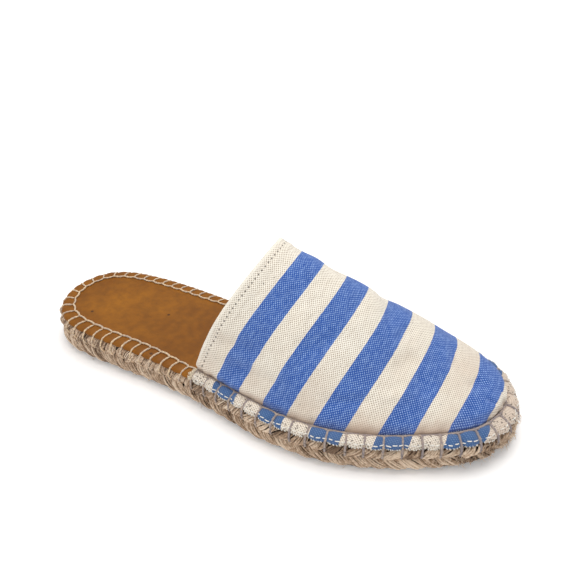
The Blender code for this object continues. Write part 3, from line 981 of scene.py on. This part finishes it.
def margin_cloth(rows):
    """The margin from the wall's foot out over the rim, and its place on the flat cloth."""
    feet = [vamp_feet(row) for row in rows]
    stations = np.array([outer for outer, inner in feet] + [inner for outer, inner in reversed(feet[:-1])])
    length = cloth_length(np.concatenate((rows, rows[-2::-1])))
    along = np.array([rim.beside(station) for station in stations])
    share = (np.arange(MARGIN_STEPS + 1) / MARGIN_STEPS)[:, None]
    ragged = np.interp(along, np.linspace(0, rim.length, 400), chance.normal(0, 1, 400))
    angle = MARGIN_ANGLE * (0.93 + 0.09 * stitch_cell(along) + 0.025 * ragged) * share
    layer = margin_layer(share, margin_cell(along), puff_height(along))
    x, y, out_x, out_y = stations.T
    inset, height = shoulder_section(x, along, angle, layer)
    height[0] = rim_level(x) + SEAT_GAP + CANVAS - FOOT_GROOVE
    points = np.stack((x - inset * out_x, y - inset * out_y, height), axis=-1)
    run = FOOT_INSET - inset + (height[0] - height) * 0.5
    cloth_along = np.clip(length + run * out_x, 0.2 * MM, 10.9 * STRIPE_WIDTH)
    return points, np.stack((y + run * out_y, cloth_along), axis=-1)


def make_vamp(finish):
    """The vamp with its hem, joined along the wall's foot to the margin, with the cloth's thickness."""
    rows, points, cloth = vamp_cloth()
    border, border_cloth = margin_cloth(rows)
    border[0, :len(rows)] = points[:, 0]
    border[0, len(rows) - 1:] = points[::-1, -1]
    sheets = []
    for name, sheet, flag in (
            ("canvas_vamp", with_hem(points, cloth), 0.0), ("canvas_margin", (border, border_cloth), 1.0)):
        piece = add_sheet(name, *sheet)
        flags = piece.data.attributes.new("margin", "FLOAT", "POINT")
        flags.data.foreach_set("value", np.full(len(piece.data.vertices), flag))
        sheets.append(piece)
    vamp = join(*sheets)
    merge(vamp, SHEET_MERGE)
    in_front = 20 * MM
    face_up(vamp, lambda faces: max(
        (face for face in faces if face.center.x > in_front), key=lambda face: face.center.z))
    thicken(vamp, CLOTH)
    shade(vamp, finish, "striped_canvas", "upper")


# Leather footbed

def make_footbed(finish):
    """The bed between both sides of the rim, and the edge turned down over it."""
    share = np.linspace(0.0, 1.0, BED_ROWS + 1)
    outer_run, inner_run = share * rim.toe, rim.length - share * (rim.length - rim.toe)
    outer, inner = shoulder(outer_run, 0.0, 0.0), shoulder(inner_run, 0.0, 0.0)
    across = np.linspace(0.0, 1.0, BED_COLUMNS + 1)
    bed = outer[:, None] + (inner - outer)[:, None] * across[None, :, None]
    bed[..., 2] -= FOOTBED_DISH * (np.sin(math.pi * across) * np.sin(math.pi * share)[:, None])
    ring = np.concatenate((outer_run, inner_run[-2::-1]))
    angle = np.linspace(0.0, BED_EDGE_ANGLE, BED_EDGE_STEPS + 1)[:, None]
    # The valleys between the puffs lie under the legs of the stitch, which lean
    cell = stitch_cell(ring + LEG_LEAN * (1 - (1 - angle / LEG_ANGLE) ** 2))
    rise = np.sin(np.minimum(angle * 1.15, math.pi / 2)) ** 1.5
    puff = LEATHER_PUFF * cell ** 0.7 * ~under_canvas(ring) * rise
    sheet = add_sheet("leather_footbed", bed)
    footbed = join(sheet, add_sheet("leather_edge", shoulder(ring, angle, puff), closed=True))
    merge(footbed, SHEET_MERGE)
    face_up(footbed, lambda faces: max(faces, key=lambda face: face.area))
    thicken(footbed, LEATHER)
    shade(footbed, finish, "tan_leather", "insole")


# Plaited jute

def make_core(finish):
    """The body of wound jute behind the strands, coloured darker than the strands as painted shade in the
    gaps between them.
    """
    along = np.linspace(0.0, rim.length, 241)
    x = rim.at(along)[:, 0]
    low, high = jute_bottom(x) + 0.3 * MM, jute_top(x) - 0.2 * MM
    face = CORE_INSET - 0.8 * MM
    profile = ((CORE_DEPTH, 0.0), (face + 0.6 * MM, 0.0), (face, 0.3), (face + 0.5 * MM, PLAIT_SPLIT),
               (face - 0.6 * MM, 0.8), (face - 0.7 * MM, 1.0), (CORE_DEPTH, 1.0))
    points = np.array([rim.place(along, inset, low + (high - low) * share) for inset, share in profile])
    core = add_sheet("jute_core", points, closed=True)
    close_holes(core)
    shade(core, finish, "plaited_jute")


def yarn_bundle(centre, lean, spread, rough, low, high, pinches, bulge, foot, rings):
    """One strand of the plait as yarns side by side: routes along the rim, outwards and up its side."""
    share = np.linspace(0.0, 1.0, rings)
    arch = np.sin(math.pi * share)
    pinch = pinches[0] + (pinches[1] - pinches[0]) * share
    out_arch = np.sin(math.pi * (foot + (1 - foot) * share)) ** 0.55
    routes = []
    lift = chance.normal(0, 0.18 * rough) * MM
    skew = 1 + chance.normal(0, 0.10 * rough)
    for k in range(YARNS):
        side = (k - (YARNS - 1) / 2) / ((YARNS - 1) / 2)
        width = spread * (pinch + (1 - pinch) * arch ** 0.7)
        along = centre + lean * skew * (0.5 - share) + side * width
        along = along + chance.normal(0, 0.10 * rough) * MM
        wander = np.interp(share, np.linspace(0, 1, 4), chance.normal(0, 0.14 * rough, 4)) * MM
        out = bulge * out_arch - 1.0 * MM * side * side + lift + wander
        inset = CORE_INSET - 0.2 * MM - out
        height = low + (high - low) * share + 0.03 * side * np.sign(lean)
        routes.append((along, inset, height))
    return routes


def lay_on_side(routes):
    """Yarns along routes given along the rim, by inset and by share of the side's height."""
    tubes = []
    for along, inset, share in routes:
        x = rim.at(along)[:, 0]
        height = np.maximum(side_height(x, share), jute_bottom(x) + YARN_RADIUS * 0.9)
        thick = YARN_RADIUS * (1 + chance.normal(0, 0.10))
        tubes.append(tube(rim.place(along, inset, height), thick, twist=YARN_TWIST, groove=0.13))
    return tubes


def jute_tone(along):
    """The tone of the jute, which has greyed a little towards the heel."""
    return 0.51 + 0.4 * float(rim.at(along)[0])


def make_plait(finish):
    """Two rows of strands that lean opposite ways, the upper one squeezed between the stitches."""
    count = round(rim.length / STRAND_PITCH)
    tubes, tones = [], []
    for k in range(count):
        centre = rim.length * k / count + chance.normal(0, 0.35) * MM
        frayed = 1.25 + 2.2 * hump(centre, rim.toe, 32 * MM)
        tubes += lay_on_side(yarn_bundle(
            centre, lean=8.8 * MM, spread=3.7 * MM, rough=frayed, **LOWER_STRANDS))
        tone = jute_tone(centre) + 0.04 * frayed + chance.normal(0, 0.08 * frayed ** 0.5)
        tones += list(tone + chance.normal(0, 0.15, YARNS))
    lower = weave_tubes("plait_lower", tubes, tones)
    shade(lower, finish, "plaited_jute", "sole")

    tubes, tones = [], []
    knots = np.append(STITCHES, STITCHES[0] + rim.length)
    for here, ahead in zip(knots, knots[1:]):
        width = (ahead - here) / STITCH_ON_CANVAS
        tubes += lay_on_side(yarn_bundle(
            (here + ahead) / 2, lean=-6.2 * MM * width, spread=3.5 * MM * width, rough=1.9, **UPPER_STRANDS))
        tone = jute_tone(here) + 0.03 + chance.normal(0, 0.16)
        tones += list(tone + chance.normal(0, 0.12, YARNS))
    upper = weave_tubes("plait_upper", tubes, tones)
    shade(upper, finish, "plaited_jute", "sole")


def make_jute_hairs(finish):
    """Loose fibres that stand off the plait all round, a third of them at the toe, where they are longer."""
    tubes, tones = [], []
    step = np.linspace(0.0, 1.0, 6)
    for k in range(HAIRS):
        at_toe = k % 3 == 0
        start = rim.toe + chance.normal(0, 28) * MM if at_toe else chance.uniform(0, rim.length)
        share = 0.12 + 0.88 * chance.beta(1.2, 1.5)
        run = chance.normal(0, 2.2) * MM
        lift = chance.uniform(0.2, 3.2 if at_toe else 1.3) * MM
        climb = chance.normal(-0.05, 0.18)
        along = start + run * step
        share = np.clip(share + climb * step - 0.08 * step * step, -0.1, 1.0)
        height = np.maximum(side_height(rim.at(along)[:, 0], share), 0.15 * MM)
        route = rim.place(along, -lift * step ** 1.4, height)
        tubes.append(tube(route, chance.uniform(0.06, 0.14) * MM, sides=3))
        tones.append(0.75 + chance.normal(0, 0.12))
    shade(weave_tubes("jute_hairs", tubes, tones), finish, "plaited_jute")


# Blanket stitch and overlock

def on_canvas(index):
    """Whether a leg of the stitch, by its number, crosses the canvas."""
    return index < CANVAS_STITCHES


def stitch_leg(index):
    """Route of one leg: from the chain out over the rim and down between two strands of jute."""
    along = STITCHES[index]
    x = float(rim.at(along)[0])
    level = rim_level(x)
    low = side_height(x, PLAIT_SPLIT - 0.02)
    share = np.array((0.06, 0.3, 0.55, 0.8, 1.0))
    lean = chance.normal(0, 0.3) * MM - (0.5 * MM if on_canvas(index) else LEG_LEAN)
    swept = along + lean * (1 - (1 - share) ** 2)
    if on_canvas(index):
        over = shoulder(swept, MARGIN_ANGLE * share, margin_layer(share, 0.0) + 1.15 * TWINE_RADIUS)
        start = rim.place(along, FOOT_INSET + toe_inset(along) + 0.3 * MM, level + SEAT_GAP + 0.2 * MM)
        out = 0.0
    else:
        over = shoulder(swept, LEG_ANGLE * share, 0.8 * TWINE_RADIUS)
        start = rim.place(along, FOOT_INSET + float(wider_rim(along)) + 0.3 * MM, level - 0.1 * MM)
        out = 0.7 * MM
    tail = [rim.place(along + lean, inset, height) for inset, height in (
        (-0.3 * MM - out, level - SHOULDER_DROP - 1.6 * MM), (-0.4 * MM - out, (level + low) / 2 - 1.0 * MM),
        (0.6 * MM, low + 0.4 * MM), (3.0 * MM, low - 0.2 * MM))]
    return smooth_route(np.vstack((start, over, tail)), 36)


def chain_link(index):
    """Route of the chain from one leg to the next, bowed a little towards the foot."""
    here = STITCHES[index]
    ahead = STITCHES[index + 1] if index + 1 < len(STITCHES) else STITCHES[0] + rim.length
    share = np.linspace(-0.06, 1.06, 18)
    along = here + (ahead - here) * share
    bow = np.sin(math.pi * np.clip(share, 0, 1)) ** 0.8
    canvas = on_canvas(index) and index + 1 < CANVAS_STITCHES
    inset = FOOT_INSET - 0.3 * MM + wider_rim(along) + 0.85 * MM * bow
    layer = 0.0
    if canvas:
        from_collar = np.minimum(along - OUTER_CORNER, INNER_CORNER - along)
        arch = (0.55 + 0.50 * (1 - soft_step(from_collar, 40 * MM, 90 * MM))) * MM * (1 - bow)
        inset = FOOT_INSET - 0.35 * MM + 0.7 * toe_inset(along) - arch
        layer = SEAT_GAP + CANVAS - FOOT_GROOVE + 0.1 * MM + 0.3 * arch + 0.15 * toe_inset(along)
    level = rim_level(rim.at(along)[:, 0])
    height = level + layer + TWINE_RADIUS * (0.75 + 0.25 * (1 - bow))
    return rim.place(along, inset, height)


def make_stitching(finish):
    """Legs over the rim and the chain between them: heavier on the canvas. The twine is toned darker on the
    canvas than on the leather, and darker still round the toe, as painted shade of the valleys and crease it
    lies in there.
    """
    tubes, tones = [], []
    for index, along in enumerate(STITCHES):
        at_toe = float(toe_inset(along)) / TOE_PULL
        # The darker tone on the canvas, deepest round the toe, is painted shade of the valleys the twine lies
        # in
        swell, tone = (1.14 + 0.12 * at_toe, 0.25 - 0.2 * at_toe) if on_canvas(index) else (1.0, 0.66)
        for route in (stitch_leg(index), chain_link(index)):
            thick = TWINE_RADIUS * swell * (1 + chance.normal(0, 0.05))
            tubes.append(tube(route, thick, sides=10, twist=TWINE_TWIST, groove=0.14))
            tones.append(tone + chance.normal(0, 0.07))
    shade(weave_tubes("blanket_stitch", tubes, tones), finish, "plaited_jute")


def margin_route(along, share, lift):
    """A route over the margin, at a share of its way out to the raw edge."""
    cell = stitch_cell(along)
    angle = MARGIN_ANGLE * (0.93 + 0.09 * cell) * share
    return shoulder(along, angle, margin_layer(share, margin_cell(along), puff_height(along)) + lift)


def make_overlock(finish):
    """White thread that binds the raw edge: a line of long stitches and loops over the edge."""
    start, end = OUTER_CORNER + 1.5 * MM, INNER_CORNER - 1.5 * MM
    step = np.linspace(0.0, 1.0, 8)
    tubes = []
    for k in range(int((end - start) / OVERLOCK_PITCH)):
        place = start + k * OVERLOCK_PITCH
        along = place + OVERLOCK_PITCH * chance.uniform(0.62, 0.92) * step
        share = 0.66 + chance.normal(0, 0.035) + chance.normal(0, 0.03) * step
        lift = 0.26 * MM * np.sin(math.pi * step) ** 0.6 - 0.08 * MM
        tubes.append(tube(margin_route(along, share, lift), OVERLOCK_RADIUS * 1.15, sides=6))
        for part in (0.25, 0.75):
            along = place + OVERLOCK_PITCH * (part + chance.normal(0, 0.08) + 0.12 * step)
            tubes.append(tube(margin_route(along, 0.88 + 0.19 * step, 0.12 * MM), OVERLOCK_RADIUS, sides=5))
    shade(weave_tubes("overlock_thread", tubes), finish, "striped_canvas")


def make_frayed_ends(finish):
    """Cut ends of the cloth's threads at both corners of the collar and along the raw edge."""
    tubes = []
    step = np.linspace(0.0, 1.0, 7)
    for corner, way in ((OUTER_CORNER, -1), (INNER_CORNER, 1)):
        for k in range(CORNER_ENDS):
            share = chance.uniform(0.05, 0.98)
            reach = chance.uniform(0.8, 2.6) * MM
            along = corner - way * 0.8 * MM + way * reach * step + chance.normal(0, 0.25) * MM * step
            lift = chance.uniform(-0.6, 0.7) * MM - 0.5 * MM * step * step
            route = margin_route(along, share + chance.normal(0, 0.06) * step, lift)
            tubes.append(tube(route, chance.uniform(0.10, 0.2) * MM, sides=5))
    for k in range(EDGE_ENDS):
        along = chance.uniform(OUTER_CORNER, INNER_CORNER) + chance.normal(0, 0.5) * MM * step
        share = 0.97 + chance.uniform(0.03, 0.16) * step
        tubes.append(tube(margin_route(along, share, 0.15 * MM * step), 0.09 * MM, sides=4))
    shade(weave_tubes("frayed_ends", tubes), finish, "striped_canvas")


# Floor, light and camera

def make_stage():
    """Paper floor, white and glowing by itself as painted light, a pale sky all round and two softboxes."""
    select()
    bpy.ops.mesh.primitive_plane_add(size=FLOOR_SIZE, location=(0.0, 0.0, 0.0))
    floor = bpy.context.object
    floor.name = "paper_floor"
    floor.data.materials.append(studio_floor())

    world = bpy.context.scene.world or bpy.data.worlds.new("studio")
    bpy.context.scene.world = world
    world.use_nodes = True
    sky = world.node_tree.nodes["Background"]
    sky.inputs["Color"].default_value = colour("#FCFDFF")
    sky.inputs["Strength"].default_value = 0.50
    bpy.context.scene.view_settings.view_transform = "Standard"

    aim = Vector((0.0, 0.0, 0.02))
    for name, place, power, tint in (
            ("softbox_over", (0.0, 0.22, 1.0), 7.4, "#FFFDFA"),
            ("softbox_front", (-0.35, -0.9, 0.85), 2.2, "#FFFAF6")):
        lamp = bpy.data.lights.new(name, "AREA")
        lamp.shape = "SQUARE"
        lamp.size = SOFTBOX_SIZE
        lamp.energy = power
        lamp.color = colour(tint)[:3]
        softbox = bpy.data.objects.new(name, lamp)
        softbox.location = place
        softbox.rotation_mode = "QUATERNION"
        softbox.rotation_quaternion = (aim - Vector(place)).to_track_quat("-Z", "Y")
        bpy.context.scene.collection.objects.link(softbox)


def make_camera():
    """The photograph's viewpoint: from the outer side, in front of the ball and above."""
    place = (113.69 * MM, -223.46 * MM, 226.87 * MM)
    heading, pitch, roll = math.radians(23.94), math.radians(34.65), math.radians(-0.38)
    lens = bpy.data.cameras.new("camera")
    lens.sensor_width = 36.0
    lens.lens = 37.9
    lens.clip_start = 0.01
    camera = bpy.data.objects.new("camera", lens)
    turn = (Matrix.Rotation(heading, 4, "Z") @ Matrix.Rotation(math.pi / 2 - pitch, 4, "X")
            @ Matrix.Rotation(roll, 4, "Z"))
    camera.matrix_world = Matrix.Translation(place) @ turn
    bpy.context.scene.collection.objects.link(camera)
    bpy.context.scene.camera = camera


def main():
    make_camera()
    make_stage()
    canvas = striped_canvas()
    leather = tan_leather()
    jute = fibre_finish("plaited jute", "#E5CFB6", "#B7997D", "#765E49", 2.2 * MM, contrast=0.31)
    # The core's jute is coloured darker than the plait's: painted shade in the gaps between the strands
    core = fibre_finish("jute core", "#8A6E4C", "#6E5537", "#4A3623", 2.2 * MM)
    twine = fibre_finish("flax twine", "#E8CCA4", "#C4AF9B", "#938888", 1.5 * MM)
    cotton = fibre_finish("white cotton thread", "#FAF8F2", "#EFEBE2", "#D5CFC4", 1.0 * MM, roughness=0.7)
    cream = fibre_finish("natural cotton ends", "#F4ECDC", "#E6DAC3", "#C4B396", 1.0 * MM)
    make_vamp(canvas)
    make_footbed(leather)
    make_core(core)
    make_plait(jute)
    make_jute_hairs(jute)
    make_stitching(twine)
    make_overlock(cotton)
    make_frayed_ends(cream)
    outsole = bpy.data.objects["outsole"]
    outsole.data.materials.clear()
    outsole.data.materials.append(crepe_rubber())


main()
